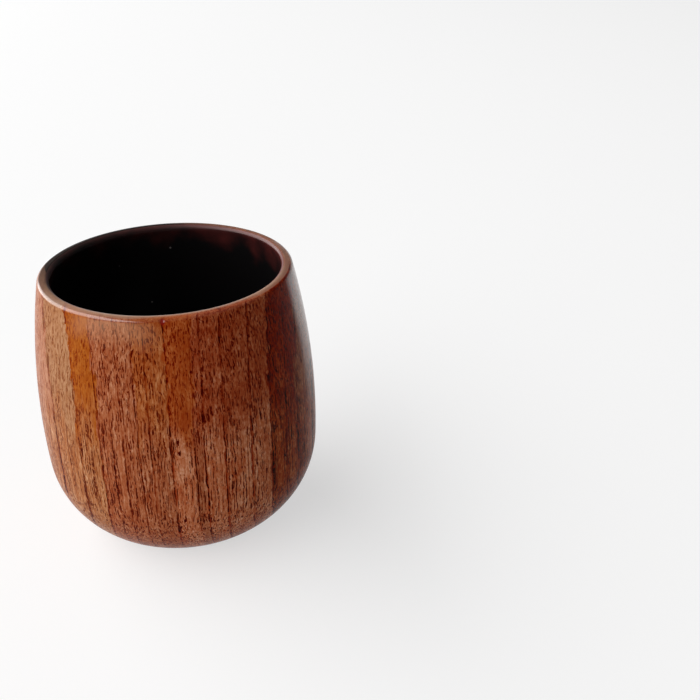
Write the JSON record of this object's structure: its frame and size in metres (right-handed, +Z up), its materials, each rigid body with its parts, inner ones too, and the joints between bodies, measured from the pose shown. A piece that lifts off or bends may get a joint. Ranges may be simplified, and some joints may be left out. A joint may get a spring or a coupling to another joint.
{
  "type": "wooden teacup",
  "caption": "Handleless barrel-shaped tea cup turned from hardwood, dark lacquer inside, lip with rounded edges, flat foot ring with a wooden disc let into its recess.",
  "frame": {"origin": "middle of the foot ring, on the table", "axes": "+Z up along the turning axis, towards the mouth; the cup is round, and +X and +Y only set how the grain lies"},
  "size_m": [0.075, 0.075, 0.075],
  "materials": {
    "turned_wood": "brown open-pored hardwood under clear satin varnish",
    "dark_lacquer": "gloss black-brown lacquer",
    "disc_wood": "sanded hardwood, thin varnish",
    "glue_line": "dark dried wood glue"
  },
  "bodies": {
    "root": {"cup_body": "turned_wood", "inner_lacquer": "dark_lacquer", "base_disc": "disc_wood", "base_glue": "glue_line"}
  },
  "joints": []
}
